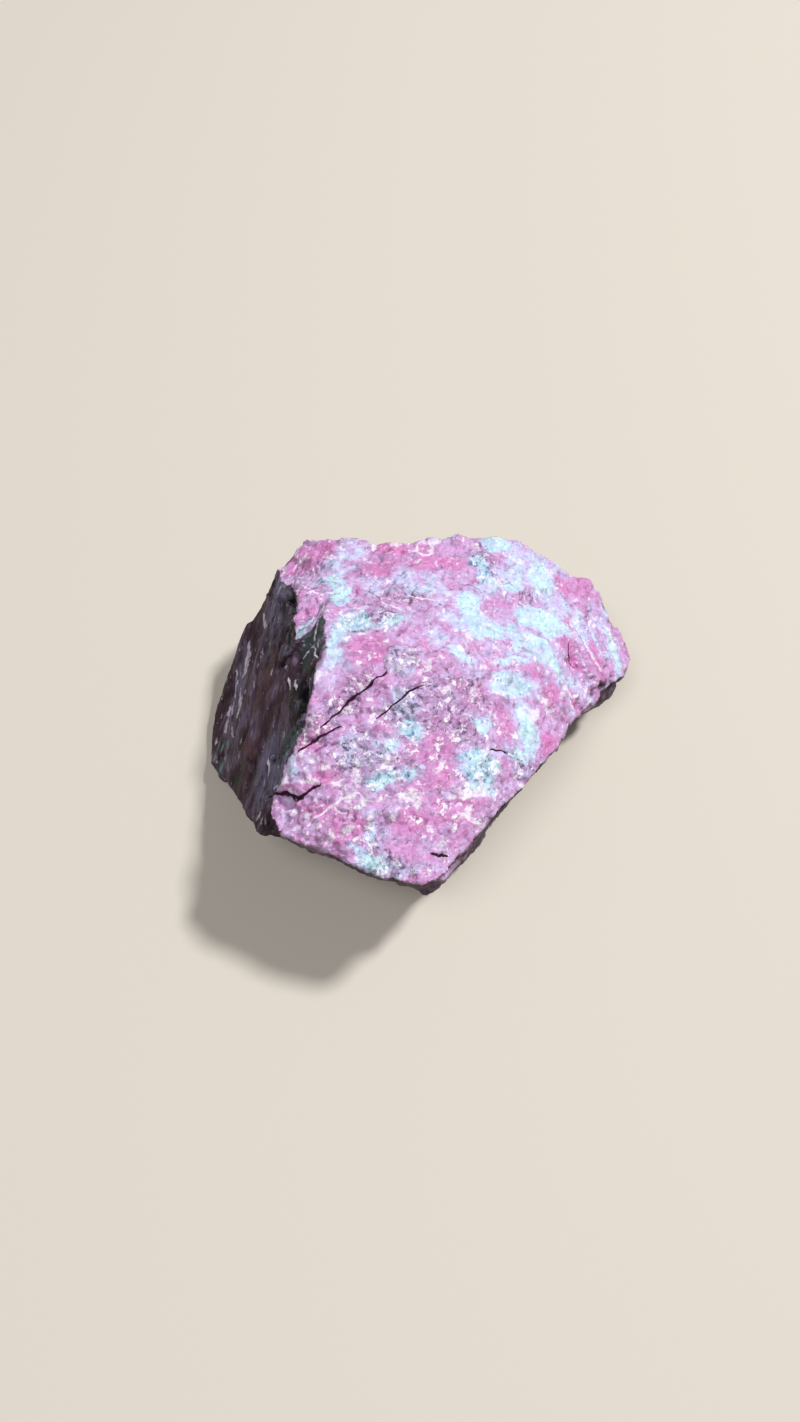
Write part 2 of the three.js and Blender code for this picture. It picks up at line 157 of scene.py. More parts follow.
GRAINY_PATCHES = [
    (-15, -7, 7, 3.4, 42), (-12, -17.5, 6, 3.4, 8), (-3, -9, 4.5, 2.6, 30), (7, -5, 7, 4, 10),
    (-22, -13, 3, 2, 30), (20, -15, 3, 2, 20), (-3, 19, 5, 2, -20), (24, 23, 2.4, 2.4, 0),
    (11, -18.5, 4.6, 3.6, 0), (-6.5, -22, 5, 1.8, 5), (-1.8, -12.6, 2.6, 2.4, 0),
    (-10, -34, 2.4, 4.5, 0), (-11, 12, 7, 3, 10), (5, -11, 6, 4, 0), (-4, 1, 3.4, 4, 20),
    (14, 30, 3, 6, 0), (-6, -38, 6, 2, -15), (-14, -20, 4, 3, 0),
]
FOLDED_PATCHES = [(37.6, 15.6, 10, 5.2, -57), (31.5, 4.5, 6.5, 2.2, -42), (-22.5, 16, 5, 2, 60)]

# Patches on the dark side, given in the same way.
GREY_PATCHES = [
    (-32, 22, 8, 2.6, 84), (-31.5, -15, 8, 3.4, 76), (-28.5, -18, 5, 1.8, 60), (-42, 10, 9, 1.6, 86),
]
BLACK_PATCHES = [
    (-28.4, 23.2, 4, 1.7, 80), (-25, -11, 7, 2.2, 72), (-24, -3.5, 5, 2, 88),
    (-27.5, 12, 4, 1.4, 85), (-40, -12, 2.6, 1.4, 60),
]
RUST_PATCHES = [(-38, -7, 5.5, 1.7, 86), (-33, 8, 4, 1.6, 80), (-36.5, 2, 4, 1.2, 85)]
GREEN_PATCHES = [(-22.8, 7.5, 6, 2.6, 74), (-24.2, -13.5, 2.6, 1, 70), (-27.4, -11.5, 2, 0.9, 70)]
TEAL_PATCHES = [(-45.3, -3.2, 4.6, 2.8, -62)]

# Veins, creases and streaks, seen from above, each as a line and its half width.
WHITE_VEINS = [
    ([(-23.4, -30.8), (-21.7, -29.1), (-19.7, -28), (-17.5, -26.9), (-16.1, -25.9), (-12.6, -24.6)], 0.24),
    ([(-16.1, -25.9), (-15.7, -24.1), (-14.4, -22.3)], 0.24),
    ([(-17.5, -26.9), (-16.5, -28), (-14.8, -28.2)], 0.22),
    ([(-15.9, -25), (-14.6, -26.3), (-13.4, -26.9)], 0.2),
    ([(-12.6, -24.6), (-10.8, -26.2), (-9.4, -26.4)], 0.2),
    ([(34.2, 21.4), (35.3, 19.2), (37.2, 16), (38.5, 14.4), (40.9, 11.6)], 0.45),
    ([(29.9, 5.6), (31.6, 4.6), (33.2, 3.6)], 0.4),
    ([(-21.1, 12.4), (-21.9, 9.3), (-21.8, 5.9), (-21.2, 2.4)], 0.24),
    ([(-21.8, 6.2), (-23.6, 7), (-24.8, 6), (-26.1, 5.3)], 0.18),
    ([(-27.5, 2.4), (-27.4, -0.6)], 0.24), ([(-26, 1.2), (-26, -2)], 0.22),
    ([(7.6, -27.9), (11.5, -29), (14.4, -29.6)], 0.45),
    ([(-27.2, 28.3), (-24, 23.6), (-20.7, 20.5)], 0.24),
    ([(-2.7, 19.1), (0.2, 17.6), (3.2, 17.4)], 0.26), ([(-8.6, 16.9), (-6.2, 15.4), (-3, 13.9)], 0.2),
    ([(-0.6, 35), (0.9, 35.9), (2.6, 34.1), (2.5, 31.8), (0.8, 30.6), (-0.5, 31.9), (-0.6, 35)], 0.5),
]
# Creases: shallow dents in the bump, drawn darker with painted shade.
CREASES = [
    ([(-17.2, -14.7), (-19.3, -15.9), (-21.6, -16.8)], 0.22),
    ([(-19.2, 17), (-15.8, 16.6), (-13.3, 17.2), (-10.7, 16.9), (-6.9, 14.5), (-2.7, 12.1)], 0.2),
    ([(-11.7, 21.4), (-9.1, 18.7), (-6.5, 17.2), (-4, 16.1)], 0.2),
    ([(-15.9, 8.9), (-13.1, 9.8), (-10.6, 8.6), (-8.1, 9.3), (-5.6, 10.6)], 0.2),
    ([(-21.9, 25.8), (-19.7, 25.2), (-17.4, 24.3)], 0.3),
    ([(8.5, 22.3), (10.8, 22.8), (12.8, 21.5), (13.5, 19.3)], 0.16),
    ([(17.3, 24.1), (19.5, 25.4), (21.3, 23.9), (21.5, 21.7)], 0.16),
]
MAUVE_STREAKS = [
    ([(23.4, 14.2), (25.3, 14), (27.2, 13.7)], 0.5), ([(20.2, 9), (22.1, 8.8), (24.4, 9.4)], 0.3),
    ([(19.3, 7.1), (21.1, 7.5), (22.9, 7.3)], 0.35), ([(17.3, 6.5), (18.6, 6.1)], 0.35),
    ([(36.8, 17.8), (38.2, 15.4), (39.9, 13)], 0.2), ([(39.4, 20.6), (40.9, 17.8), (42.6, 14.8)], 0.25),
    ([(42.9, 19.2), (44, 16.6), (44.6, 14.2)], 0.2),
]
# Pale streaks of the dark side: pale veins, and painted highlights where blade edges catch the light.
PALE_STREAKS_AND_GLINTS = [
    ([(-40.2, 23), (-39.7, 20.1), (-40.1, 17.5), (-40.2, 14.6), (-41.2, 13.5)], 0.5),
    ([(-43.1, 17.5), (-42.9, 14), (-43.1, 11.2), (-43.3, 8.6), (-43.6, 5.6)], 0.46),
    ([(-44.9, 10), (-45.2, 6.2), (-45.4, 2.6)], 0.4),
    ([(-40.9, 11.4), (-41.3, 9.6), (-41.2, 7.7), (-41.7, 3.4)], 0.34),
    ([(-43.6, 3), (-43, 1), (-42.7, -0.5)], 0.26),
    ([(-47.9, 3.4), (-47.8, 1.4)], 0.24), ([(-36.3, 27.3), (-36.1, 24.7), (-35.1, 21.6)], 0.32),
    ([(-32, 8.1), (-31.9, 6.4)], 0.24), ([(-37.4, 9.8), (-37.2, 7.7)], 0.2),
    ([(-32.1, -12.7), (-31.9, -17.1)], 0.3), ([(-29.6, -20.2), (-29.7, -22.2)], 0.22),
]

PATCHES = {
    "mint": MINT_PATCHES, "white": WHITE_PATCHES, "lilac": LILAC_PATCHES, "rose": ROSE_PATCHES,
    "grainy": GRAINY_PATCHES, "folded": FOLDED_PATCHES, "grey": GREY_PATCHES, "black": BLACK_PATCHES,
    "rust": RUST_PATCHES, "green": GREEN_PATCHES, "teal": TEAL_PATCHES,
}
THIN_LINES = {
    "vein": WHITE_VEINS, "crease": CREASES, "mauve": MAUVE_STREAKS, "streak": PALE_STREAKS_AND_GLINTS,
    "crack": [(line, half_width) for line, half_width, _ in CRACKS],
}

# Pink windows where the crust of the lower sides has flaked off: the middle and the radius.
WINDOWS = [
    ((34, -12, 8), 6), ((46, 30, 9), 7), ((18, 42, 14), 7), ((-12, 42, 9), 8), ((-30, 38, 18), 5),
    ((8, -36, 12), 6.5), ((-20, -35, 16), 7), ((24, -24, 18), 4), ((48, 12, 6), 4),
    ((-1, 38, 33), 9), ((10, 39, 32), 6), ((40, 4.5, 17), 3),
]

# ---------------------------------------------------------------------------------------------
# Fine surface
# ---------------------------------------------------------------------------------------------

CELL = 0.52  # edge of the modelled mesh
SMOOTHING_ROUNDS = 14
SETTLING_ROUNDS = 3
SPIKE = 0.75 * CELL  # a vertex further than this from its neighbours' middle is drawn back in
REST_DEPTH = 0.3  # the resting face and what is this near to it stay flat
RELIEF_RISE = 2.5  # the relief grows from nothing on the ground to its whole height up here
NARROWEST_CUT = 0.35  # half width of the narrowest crack that the mesh can show
THINNEST_LINE = 0.02  # half width of a vein, crease or streak at its very ends

# A field holds how deep a place is inside a marking, in millimetres, between these two limits.
OUTSIDE = -6.0
WELL_INSIDE = 12.0
BORDER = (-0.6, 0.8)  # one kind of surface gives way to the next between these depths

CRUST_RISE = 0.3  # crust covers the faces whose normal rises less than this
CRUST_REACH = 16  # and its field deepens by this many millimetres for each unit less
TURNED_UNDER = 0.1  # markings of the top stop where the normal rises less than this

NOISE_SHIFT = Vector((17.3, -5.1, 29.7))  # each seed moves its noise on by this much
FACET_SHIFT = Vector((9.7, 21.3, -14.9))  # and its facets by this much


def fractal(points, size, seed, octaves=3):
    """Smooth noise from about -1 to 1 at each point, with features of that size."""
    shift = NOISE_SHIFT * seed
    return np.array([noise.fractal(Vector(p) / size + shift, 1.0, 2.0, octaves) for p in points])


def shaken(points, size, amount, seed):
    """The points pushed about by noise, so that borders drawn on them come out ragged."""
    pushes = [fractal(points, size, seed + step, 2) for step in range(3)]
    return points + amount * np.stack(pushes, axis=1)


def fine_places(points):
    """The points pushed about only a little, for thin lines and small marks."""
    return shaken(points, size=2.4, amount=0.35, seed=31)


def squeezed(points, direction, stretch):
    """The points squeezed along a direction, so that what is drawn on them is longer by the stretch."""
    direction = np.array(direction)
    return points - np.outer(points @ direction * (1 - 1 / stretch), direction)


def layered(points, length, breadth):
    """The points squeezed along the blades and across them, so what is drawn comes out in plates."""
    return squeezed(squeezed(points, BLADE_DIRECTION, length), BREADTH_DIRECTION, breadth)


def step_up(values, low, high):
    """0 below low, 1 above high, and a smooth rise between."""
    share = np.clip((values - low) / (high - low), 0, 1)
    return share * share * (3 - 2 * share)


def near_line(points, line):
    """Distance from each point to a line seen from above, its side of it and its place along it."""
    line = np.array(line, float)
    lengths = np.linalg.norm(np.diff(line, axis=0), axis=1)
    gap = np.full(len(points), np.inf)
    side = np.ones(len(points))
    place = np.zeros(len(points))
    passed = 0
    for start, end, length in zip(line[:-1], line[1:], lengths):
        run = end - start
        out = points[:, :2] - start
        share = np.clip(out @ run / length**2, 0, 1)
        away = np.linalg.norm(out - share[:, None] * run, axis=1)
        nearer = away < gap
        gap[nearer] = away[nearer]
        side[nearer] = np.where(run[0] * out[nearer, 1] > run[1] * out[nearer, 0], 1, -1)
        place[nearer] = (passed + share[nearer] * length) / lengths.sum()
        passed += length
    return gap, side, place


def fullness(place):
    """How full a thin line is along its length: 1 in the middle and 0 at its ends."""
    return np.clip(4 * place * (1 - place), 0, 1) ** 0.35


def line_fields(points, lines):
    """Two fields of thin lines, each given with its half width.

    The first is the depth inside the nearest line. The second is the offset across it in half
    widths, with its sign, which stays true between vertices that are wider apart than the line.
    """
    depth = np.full(len(points), -np.inf)
    offset = np.full(len(points), np.inf)
    for line, half_width in lines:
        gap, side, place = near_line(points, line)
        width = half_width * fullness(place)
        depth = np.maximum(depth, width - gap)
        ratio = side * gap / np.maximum(width, THINNEST_LINE)
        offset = np.where(np.abs(ratio) < np.abs(offset), ratio, offset)
    return depth, offset


def ball_field(points, balls):
    """How deep each point is inside the nearest ball, each given by its middle and radius."""
    return np.max([radius - np.linalg.norm(points - middle, axis=1) for middle, radius in balls], axis=0)


def inside(points, outline):
    """Whether each point, seen from above, is inside a closed outline."""
    within = np.zeros(len(points), bool)
    for (x0, y0), (x1, y1) in zip(outline, outline[1:] + outline[:1]):
        if y0 == y1:
            continue
        crosses = (points[:, 1] > y0) != (points[:, 1] > y1)
        within ^= crosses & (points[:, 0] < x0 + (x1 - x0) * (points[:, 1] - y0) / (y1 - y0))
    return within


def patch_field(points, patches):
    """How deep each point is inside the nearest oval patch, in millimetres: below 0 is outside."""
    field = np.full(len(points), -np.inf)
    for x, y, half_length, half_width, turn in patches:
        angle = math.radians(turn)
        right = points[:, 0] - x
        back = points[:, 1] - y
        long_way = (right * math.cos(angle) + back * math.sin(angle)) / half_length
        wide_way = (back * math.cos(angle) - right * math.sin(angle)) / half_width
        depth = (1 - np.hypot(long_way, wide_way)) * min(half_length, half_width)
        field = np.maximum(field, depth)
    return field


def facets(points, size, slope, seed):
    """Height of a surface broken into small tilted faces of about that size, with steps between."""
    shift = FACET_SHIFT * seed
    heights = np.empty(len(points))
    for index, point in enumerate(points):
        place = Vector(point) / size + shift
        middle = noise.voronoi(place)[1][0]
        tilt = noise.cell_vector(middle * 9) * 2 - Vector((1, 1, 1))
        heights[index] = (place - middle).dot(tilt)
    return heights * size * slope


def read_vertices(mesh, name):
    """The places or normals of all vertices, as rows."""
    flat = np.empty(len(mesh.vertices) * 3, np.float32)
    mesh.vertices.foreach_get(name, flat)
    return flat.reshape(-1, 3).astype(float)


def read_edges(mesh):
    """The first and the second vertex of every edge."""
    flat = np.empty(len(mesh.edges) * 2, np.int32)
    mesh.edges.foreach_get("vertices", flat)
    return flat.reshape(-1, 2).T


def add_neighbours(total, values, edges):
    """Adds to each vertex's total the values of the vertices that it shares an edge with."""
    first, second = edges
    np.add.at(total, first, values[second])
    np.add.at(total, second, values[first])


def even_mesh(node):
    """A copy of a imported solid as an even, fine mesh that still rests on a flat base."""
    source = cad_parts[node]
    copy = bpy.data.objects.new("even_copy", source.data.copy())
    bpy.context.collection.objects.link(copy)
    remesh = copy.modifiers.new("even", "REMESH")
    remesh.mode = "VOXEL"
    remesh.voxel_size = CELL * MM
    ready = copy.evaluated_get(bpy.context.evaluated_depsgraph_get())
    mesh = bpy.data.meshes.new_from_object(ready)
    bpy.data.objects.remove(copy)
    mesh.materials.clear()
    return mesh


def broad_normals(mesh):
    """Vertex normals averaged over a few millimetres, so that they follow the large faces only."""
    normals = read_vertices(mesh, "normal")
    edges = read_edges(mesh)
    for _ in range(SMOOTHING_ROUNDS):
        total = normals.copy()
        add_neighbours(total, normals, edges)
        normals = total / np.linalg.norm(total, axis=1, keepdims=True)
    return normals


def stone_fields(points, normals):
    """The fields of all markings at each point."""
    ragged = shaken(shaken(points, size=4, amount=1.3, seed=11), size=1.6, amount=0.5, seed=21)
    fine = fine_places(points)
    fields = {name: patch_field(ragged, patches) for name, patches in PATCHES.items()}
    fields["white"] = np.maximum(fields["white"], patch_field(fine, WHITE_DABS))
    for name, lines in THIN_LINES.items():
        fields[name], fields[name + "_offset"] = line_fields(fine, lines)
    facing_down = normals[:, 2] < TURNED_UNDER
    for field in fields.values():
        field[facing_down] = OUTSIDE

    side, _, _ = near_line(fine, RIDGE)
    side[~inside(fine, DARK_SIDE)] *= -1
    flank = (CRUST_RISE - normals[:, 2]) * CRUST_REACH + 2.5 * fractal(points, size=9, seed=41)
    window = ball_field(shaken(ragged, size=9, amount=4, seed=44), WINDOWS)
    fields["ridge"] = side
    fields["skin"] = np.maximum(side, np.minimum(flank, -window))
    fields["window"] = window
    fields["hollow"] = ball_field(fine, [(middle, radius) for middle, radius, _ in HOLLOWS])
    return {name: np.clip(field, OUTSIDE, WELL_INSIDE) for name, field in fields.items()}


def break_relief(points, fields):
    """Small tilted faces of the granular break, calmer on the mint and rougher where grainy."""
    loose = shaken(points, size=5, amount=1.0, seed=51)
    broad = facets(loose, size=9, slope=0.07, seed=1)
    middle = facets(loose, size=3.6, slope=0.15, seed=2)
    small = facets(shaken(points, size=2, amount=0.3, seed=55), size=1.7, slope=0.2, seed=3)
    calm = 0.6 * step_up(fields["mint"], -0.5, 1.0)
    rough = 0.7 * step_up(fields["grainy"], -1, 1)
    swell = 0.12 * fractal(points, size=11, seed=61)

    drawn_out = squeezed(shaken(points, size=5, amount=0.8, seed=57), FOLD_DIRECTION, stretch=5)
    folds = step_up(fields["folded"], *BORDER) * facets(drawn_out, size=2.4, slope=0.22, seed=9)
    return broad + middle + (1 - calm + rough) * small + folds + swell


def blade_relief(points, fields):
    """Plates and blades of the dark side, calm in places, with small knobs along the ridge."""
    loose = shaken(points, size=9, amount=1.2, seed=71)
    plates = facets(layered(loose, length=4, breadth=2.2), size=3.6, slope=0.27, seed=4)
    blades = facets(layered(loose, length=4, breadth=1.4), size=1.8, slope=0.18, seed=5)
    busy = 0.1 + 0.9 * step_up(fractal(points, size=12, seed=73), -0.2, 0.6)

    drawn_out = squeezed(shaken(points, size=3, amount=0.4, seed=79), BLADE_DIRECTION, stretch=1.6)
    knobs = facets(drawn_out, size=1.7, slope=0.34, seed=10)
    by_ridge = step_up(fields["ridge"], 0, 1) * (1 - step_up(fields["ridge"], 3, 6.5))
    return plates + busy * blades + by_ridge * knobs


def crust_relief(points, fields):
    """Hackly broken plate edges of the other sides, lower where the crust has flaked off."""
    loose = shaken(points, size=12, amount=2.0, seed=75)
    blocks = facets(layered(loose, length=1.6, breadth=1.6), size=8, slope=0.10, seed=6)
    loose = shaken(points, size=4, amount=0.8, seed=77)
    edges = facets(layered(loose, length=4, breadth=4), size=2.0, slope=0.26, seed=7)
    grit = facets(points, size=1.6, slope=0.10, seed=8)
    flaked = 0.7 * step_up(fields["window"], -0.2, 0.6)
    return blocks + edges + grit - flaked


def opening_depth(points, normals):
    """How deep the open cracks and the hollows cut."""
    fine = fine_places(points)
    facing_up = step_up(normals[:, 2], 0.1, 0.3)
    cuts = np.zeros(len(points))
    for line, half_width, depth in CRACKS:
        gap, _, place = near_line(fine, line)
        full = fullness(place)
        width = max(half_width, NARROWEST_CUT) * (0.2 + full)
        cuts = np.maximum(cuts, facing_up * depth * full * np.exp(-((gap / width) ** 2)))
    for middle, radius, depth in HOLLOWS:
        away = np.linalg.norm(points - middle, axis=1)
        cuts = np.maximum(cuts, depth * np.exp(-((away / radius) ** 2)))
    return cuts


def settled(mesh, points):
    """The points with any thin spike drawn back in between its neighbours."""
    edges = read_edges(mesh)
    neighbours = np.bincount(edges.ravel(), minlength=len(points))[:, None]
    for _ in range(SETTLING_ROUNDS):
        total = np.zeros_like(points)
        add_neighbours(total, points, edges)
        middle = total / neighbours
        spiky = np.linalg.norm(points - middle, axis=1) > SPIKE
        points = np.where(spiky[:, None], middle, points)
    return points


def carve(mesh, points, normals, fields):
    """Moves the vertices by the stone's relief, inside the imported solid's box."""
    dark = step_up(fields["skin"], *BORDER)
    bladed = step_up(fields["ridge"], *BORDER)
    rind = bladed * blade_relief(points, fields) + (1 - bladed) * crust_relief(points, fields)
    height = (1 - dark) * break_relief(points, fields) + dark * rind
    height -= opening_depth(points, normals)
    height *= step_up(points[:, 2], 0, RELIEF_RISE)
    moved = settled(mesh, points + height[:, None] * normals)
    low, high = (np.array(corner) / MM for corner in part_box("rhodonite"))
    moved = np.clip(moved, low, high)
    moved[points[:, 2] < REST_DEPTH, 2] = 0
    mesh.vertices.foreach_set("co", (moved * MM).ravel())
    mesh.update()


def write_fields(mesh, fields):
    """Gives the mesh one attribute for each field, which the material reads."""
    for name, field in fields.items():
        made = mesh.attributes.new(name, "FLOAT", "POINT")
        made.data.foreach_set("value", field.astype(np.float32))


def make_stone():
    """The stone's one piece, still without its material."""
    mesh = even_mesh("rhodonite")
    points = read_vertices(mesh, "co") / MM
    normals = broad_normals(mesh)
    fields = stone_fields(points, normals)
    carve(mesh, points, normals, fields)
    write_fields(mesh, fields)
    mesh.shade_smooth()
    stone = bpy.data.objects.new("rough_stone", mesh)
    bpy.context.collection.objects.link(stone)
    return stone


# ---------------------------------------------------------------------------------------------
# Materials
# ---------------------------------------------------------------------------------------------

# The break, from its deepest pink to its palest mint.
BREAK_TONES = [
    (0.00, "#D27EBA"), (0.24, "#CC92C7"), (0.38, "#C8A3D1"), (0.50, "#CBB7E2"), (0.62, "#C9CCEF"),
    (0.80, "#C2DAEF"), (1.00, "#CCECF0"),
]
ROSE_SHADOW = "#93588C"
ROSE_GLOW = "#F6D4F0"
WHITE_FLECK_AND_GLINT = "#F8F0FC"
DARK_SPECK_AND_PIT_SHADE = "#544069"
MINT_FLECK = "#3F7392"
PATCH_WHITE = "#F1EAF6"
GRAINY_MAUVE_AND_SHADE = "#A382A9"
VEIN_WHITE = "#F1E2F4"
MINT_SHADE = "#7FB2CA"
CREASE_SHADE = "#6A5480"
MAUVE_STREAK = "#B88FC2"
CRACK_SHADE = "#3C1A33"
HOLLOW_SHADE = "#141014"

# The dark side, from its blackest oxide to its palest blade edge, darkened partly as painted shade.
OXIDE_AND_SHADE_TONES = [
    (0.00, "#120A11"), (0.26, "#2A1723"), (0.50, "#442D3A"), (0.74, "#67566E"), (1.00, "#ACA5C2"),
]
GREY_BLADE = "#716E88"
KNOB_GREY = "#8A969F"
GREEN_BLACK = "#1E2622"
GREY_GREEN = "#465253"
RUST = "#4C2A2C"
TEAL = "#7BA3A8"
PALE_VEIN_AND_GLINT = "#E4D9EE"

# The crust of the other sides, from its blackest oxide to its palest edge.
CRUST_TONES = [
    (0.00, "#181115"), (0.28, "#3A2C34"), (0.52, "#63525E"), (0.76, "#978190"), (1.00, "#CFBFC8"),
]
LIT_RIM_MAUVE = "#B394B4"

GLOSSIEST = 0.2  # the least roughness anywhere
STONE_IOR = 1.45
SPECULAR = 0.3


# How each marking's border is drawn: the size and the throw of its bends, and how soft it is.
EDGES = {
    "mint": dict(size=1.1, throw=0.8, soft=0.35, seed=3.0),
    "white": dict(size=0.8, throw=0.45, soft=0.3, seed=4.0),
    "lilac": dict(size=1.8, throw=1.2, soft=0.9, seed=2.0),
    "rose": dict(size=2.0, throw=0.9, soft=0.8, seed=1.0),
    "grainy": dict(size=2.2, throw=1.5, soft=1.2, seed=18.0),
    "folded": dict(size=2.2, throw=1.0, soft=1.2, seed=43.0),
    "grey": dict(size=2.0, throw=1.6, soft=1.6, seed=25.0),
    "black": dict(size=2.0, throw=1.4, soft=1.0, seed=27.0),
    "rust": dict(size=2.0, throw=1.0, soft=1.0, seed=26.0),
    "green": dict(size=1.2, throw=0.8, soft=0.5, seed=49.0),
    "teal": dict(size=1.2, throw=1.0, soft=0.8, seed=28.0),
    "skin": dict(size=1.4, throw=0.5, soft=0.2, seed=16.0),
    "ridge": dict(size=1.4, throw=0.5, soft=0.2, seed=16.0),
}
LINE_EDGE = (1.15, 0.75)  # a vein or a streak fades in between these, in half widths from its middle
LINE_GATE = (-0.35, -0.2)  # and between these depths in its field, in millimetres
KNOB_BAND = (6.5, 2.0)  # the knobs along the ridge fade in between these distances from it

# The sockets of a Mix node that mixes colours, and the middle of what a noise gives as a colour.
MIX_SHARE, MIX_BELOW, MIX_ABOVE, MIX_RESULT = 0, 6, 7, 2
CENTRE = (0.5, 0.5, 0.5)


def linear(code):
    """A colour code such as #CF86BE as the linear RGBA that the nodes take, by the sRGB curve."""
    parts = [int(code[start : start + 2], 16) / 255 for start in (1, 3, 5)]
    return [p / 12.92 if p <= 0.04045 else ((p + 0.055) / 1.055) ** 2.4 for p in parts] + [1.0]


class Nodes:
    """Fills a node tree. Each call adds a node and gives its output, to be another node's input."""

    def __init__(self, tree):
        self.tree = tree

    def add(self, kind, inputs, output=0, **settings):
        """A node with its settings made and its inputs fed."""
        made = self.tree.nodes.new("ShaderNode" + kind)
        for name, value in settings.items():
            setattr(made, name, value)
        for socket, value in inputs.items():
            self.feed(made.inputs[socket], value)
        return made.outputs[output]

    def feed(self, socket, value):
        """Links an output to the socket, or sets the socket to a plain value."""
        if isinstance(value, bpy.types.NodeSocket):
            self.tree.links.new(value, socket)
        else:
            socket.default_value = value

    def math(self, operation, *values, clamp=False):
        """The result of one operation on the values."""
        return self.add("Math", dict(enumerate(values)), operation=operation, use_clamp=clamp)

    def rise(self, value, low, high):
        """0 below low, 1 above high, and a smooth rise between."""
        inputs = {"Value": value, "From Min": low, "From Max": high}
        return self.add("MapRange", inputs, interpolation_type="SMOOTHSTEP")

    def mix(self, share, first, second):
        """The first colour with a share of the second over it."""
        inputs = {MIX_SHARE: share, MIX_BELOW: first, MIX_ABOVE: second}
        return self.add("Mix", inputs, output=MIX_RESULT, data_type="RGBA")

    def tones(self, value, stops):
        """A colour ramp through the stops."""
        made = self.tree.nodes.new("ShaderNodeValToRGB")
        self.feed(made.inputs["Fac"], value)
        ramp = made.color_ramp
        while len(ramp.elements) < len(stops):
            ramp.elements.new(0.5)
        for element, (place, code) in zip(ramp.elements, stops):
            element.position = place
            element.color = linear(code)
        return made.outputs["Color"]

    def field(self, name):
        """One of the fields that the mesh carries, in millimetres."""
        return self.add("Attribute", {}, output="Fac", attribute_name=name)

    def place(self):
        """The place on the stone, in millimetres."""
        own = self.add("TexCoord", {}, output="Object")
        return self.add("VectorMath", {0: own, "Scale": 1 / MM}, operation="SCALE")

    def group(self, tree, **values):
        """A node group with its named inputs set. Its first output is given."""
        made = self.tree.nodes.new("ShaderNodeGroup")
        made.node_tree = tree
        for name, value in values.items():
            self.feed(made.inputs[name.capitalize()], value)
        return made.outputs[0]


def new_group(name, **defaults):
    """A node group that puts out one value. Gives the tree, its Nodes and its inputs by name."""
    tree = bpy.data.node_groups.new(name, "ShaderNodeTree")
    for socket, value in defaults.items():
        made = tree.interface.new_socket(socket.capitalize(), in_out="INPUT", socket_type="NodeSocketFloat")
        made.default_value = value
    tree.interface.new_socket("Value", in_out="OUTPUT", socket_type="NodeSocketFloat")
    source = tree.nodes.new("NodeGroupInput")
    inputs = {socket: source.outputs[socket.capitalize()] for socket in defaults}
    return tree, Nodes(tree), inputs


def finish_group(tree, value):
    """Puts the value out of the group, and gives the tree."""
    result = tree.nodes.new("NodeGroupOutput")
    tree.links.new(value, result.inputs["Value"])
    return tree


def clouds_at(nodes, place, inputs, detail, roughness):
    """Noise at a place, from about -1 to 1, with the size and seed that a group is given."""
    settings = {
        "Vector": place,
        "W": inputs["seed"],
        "Scale": nodes.math("DIVIDE", 1.0, inputs["size"]),
        "Detail": detail,
        "Roughness": roughness,
    }
    cloud = nodes.add("TexNoise", settings, noise_dimensions="4D")
    return nodes.math("MULTIPLY_ADD", cloud, 4.0, -2.0)


def make_mottle():
    """Clouds of that size in millimetres, from about -1 to 1."""
    tree, nodes, inputs = new_group("mottle", size=4.0, seed=0.0, roughness=0.6)
    clouds = clouds_at(nodes, nodes.place(), inputs, detail=4.0, roughness=inputs["roughness"])
    return finish_group(tree, clouds)


def make_ragged_edge(mottle):
    """1 inside a field and 0 outside, with an edge that wanders by the throw."""
    tree, nodes, inputs = new_group("ragged_edge", field=0.0, size=1.5, throw=0.6, soft=0.3, seed=0.0)
    wander = nodes.group(mottle, size=inputs["size"], seed=inputs["seed"])
    edge = nodes.math("MULTIPLY_ADD", wander, inputs["throw"], inputs["field"])
    low = nodes.math("MULTIPLY", inputs["soft"], -1.0)
    return finish_group(tree, nodes.rise(edge, low, inputs["soft"]))


def pushed_place(nodes, size, amount):
    """The place on the stone pushed about by noise of that size, by that share of it."""
    place = nodes.place()
    scale = nodes.math("DIVIDE", 1.0, size)
    push = nodes.add("TexNoise", {"Vector": place, "Scale": scale}, output="Color")
    centred = nodes.add("VectorMath", {0: push, 1: CENTRE}, operation="SUBTRACT")
    inputs = {0: centred, 1: nodes.math("MULTIPLY", size, amount), 2: place}
    return nodes.add("VectorMath", inputs, operation="MULTIPLY_ADD")


def squeezed_place(nodes, place, direction, stretch):
    """The place squeezed along a direction, so that what is drawn there is longer by the stretch."""
    direction = tuple(direction)
    along = nodes.add("VectorMath", {0: place, 1: direction}, output="Value", operation="DOT_PRODUCT")
    squeeze = nodes.math("SUBTRACT", nodes.math("DIVIDE", 1.0, stretch), 1.0)
    inputs = {0: direction, "Scale": nodes.math("MULTIPLY", along, squeeze)}
    shift = nodes.add("VectorMath", inputs, operation="SCALE")
    return nodes.add("VectorMath", {0: place, 1: shift}, operation="ADD")


def layered_place(nodes, place, length, breadth):
    """The place squeezed along the blades and across them, so what is drawn comes out in plates."""
    place = squeezed_place(nodes, place, BLADE_DIRECTION, length)
    return squeezed_place(nodes, place, BREADTH_DIRECTION, breadth)


def grains(nodes, place, size, seed):
    """Angular cells of that size: the Voronoi node itself, for its several outputs."""
    inputs = {"Vector": place, "W": seed, "Scale": nodes.math("DIVIDE", 1.0, size)}
    return nodes.add("TexVoronoi", inputs, voronoi_dimensions="4D").node


